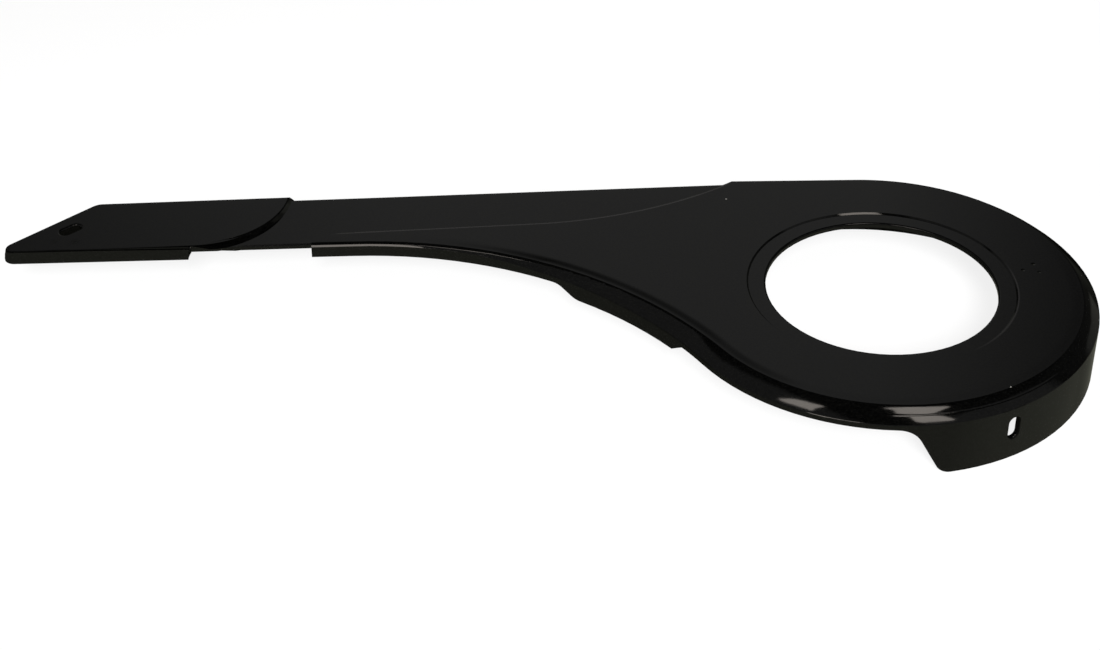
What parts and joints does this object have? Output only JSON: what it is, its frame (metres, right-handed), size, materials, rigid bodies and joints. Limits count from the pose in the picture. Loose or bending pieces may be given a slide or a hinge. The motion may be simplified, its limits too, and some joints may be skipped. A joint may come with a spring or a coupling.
{
  "type": "bicycle chain guard",
  "caption": "Glossy black moulded bicycle chain guard: a skirted disc with a wide crank hole, and a tapering stepped arm that runs back over the chain to a slotted tail.",
  "frame": {"origin": "centre of the crank hole, halfway through the sheet", "axes": "+X towards the front of the bicycle, with the tail at -X; +Y up on the bicycle; +Z out of the outer face, along the crank axis"},
  "size_m": [0.5262, 0.205, 0.0331],
  "materials": {
    "black_plastic": "glossy black moulded plastic with a fine texture"
  },
  "bodies": {
    "root": {"chain_guard": "black_plastic"}
  },
  "joints": []
}
